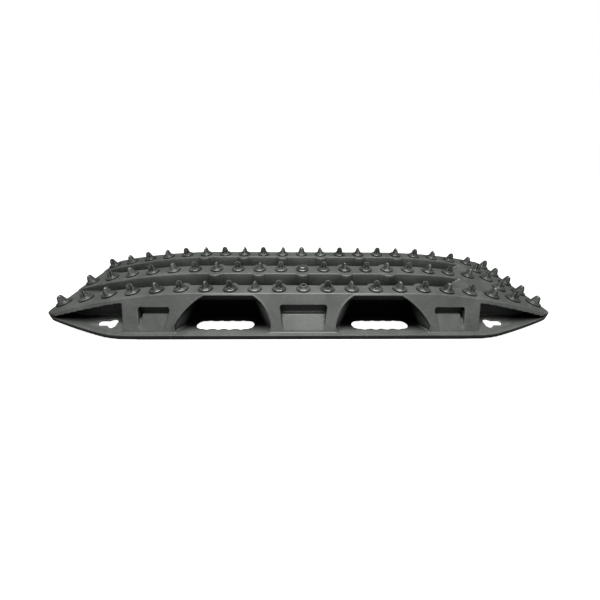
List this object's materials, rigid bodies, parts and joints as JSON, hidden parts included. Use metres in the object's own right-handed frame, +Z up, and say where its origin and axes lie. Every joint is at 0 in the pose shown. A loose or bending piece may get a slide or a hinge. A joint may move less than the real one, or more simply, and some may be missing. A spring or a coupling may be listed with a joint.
{
  "type": "vehicle traction board",
  "caption": "Ridged nylon traction board with upturned ends, hand slots, keyholes and screwed-on toothed studs, laid under a stuck wheel for grip.",
  "frame": {"origin": "middle of the footprint, on the ground under the rim", "axes": "+X along the board towards the end with closed valleys, +Y across to the back side, +Z up"},
  "size_m": [1.15, 0.34, 0.1122],
  "materials": {
    "deck_nylon": "moulded satin",
    "stud_nylon": "moulded satin",
    "zinc_steel": "zinc plated"
  },
  "bodies": {
    "root": {"deck": "deck_nylon", "outer_studs_01": "stud_nylon", "centre_stud_01": "stud_nylon", "outer_studs_02": "stud_nylon", "centre_stud_02": "stud_nylon", "outer_studs_03": "stud_nylon", "centre_stud_03": "stud_nylon", "outer_studs_04": "stud_nylon", "centre_stud_04": "stud_nylon", "outer_studs_05": "stud_nylon", "centre_stud_05": "stud_nylon", "outer_studs_06": "stud_nylon", "centre_stud_06": "stud_nylon", "outer_studs_07": "stud_nylon", "centre_stud_07": "stud_nylon", "outer_studs_08": "stud_nylon", "centre_stud_08": "stud_nylon", "outer_studs_09": "stud_nylon", "centre_stud_09": "stud_nylon", "outer_studs_10": "stud_nylon", "centre_stud_10": "stud_nylon", "outer_studs_11": "stud_nylon", "centre_stud_11": "stud_nylon", "outer_studs_12": "stud_nylon", "centre_stud_12": "stud_nylon", "outer_studs_13": "stud_nylon", "centre_stud_13": "stud_nylon", "outer_studs_14": "stud_nylon", "centre_stud_14": "stud_nylon", "outer_studs_15": "stud_nylon", "centre_stud_15": "stud_nylon", "outer_studs_16": "stud_nylon", "centre_stud_16": "stud_nylon", "outer_studs_17": "stud_nylon", "centre_stud_17": "stud_nylon", "outer_studs_18": "stud_nylon", "centre_stud_18": "stud_nylon", "outer_studs_19": "stud_nylon", "centre_stud_19": "stud_nylon", "outer_studs_20": "stud_nylon", "centre_stud_20": "stud_nylon", "outer_studs_21": "stud_nylon", "centre_stud_21": "stud_nylon", "end_stud_1": "stud_nylon", "end_stud_2": "stud_nylon", "end_stud_3": "stud_nylon", "end_stud_4": "stud_nylon", "screws_near": "zinc_steel", "screws_middle": "zinc_steel", "screws_far": "zinc_steel", "screws_end": "zinc_steel", "washers_near": "zinc_steel", "washers_middle": "zinc_steel", "washers_far": "zinc_steel", "washers_end": "zinc_steel"}
  },
  "joints": []
}
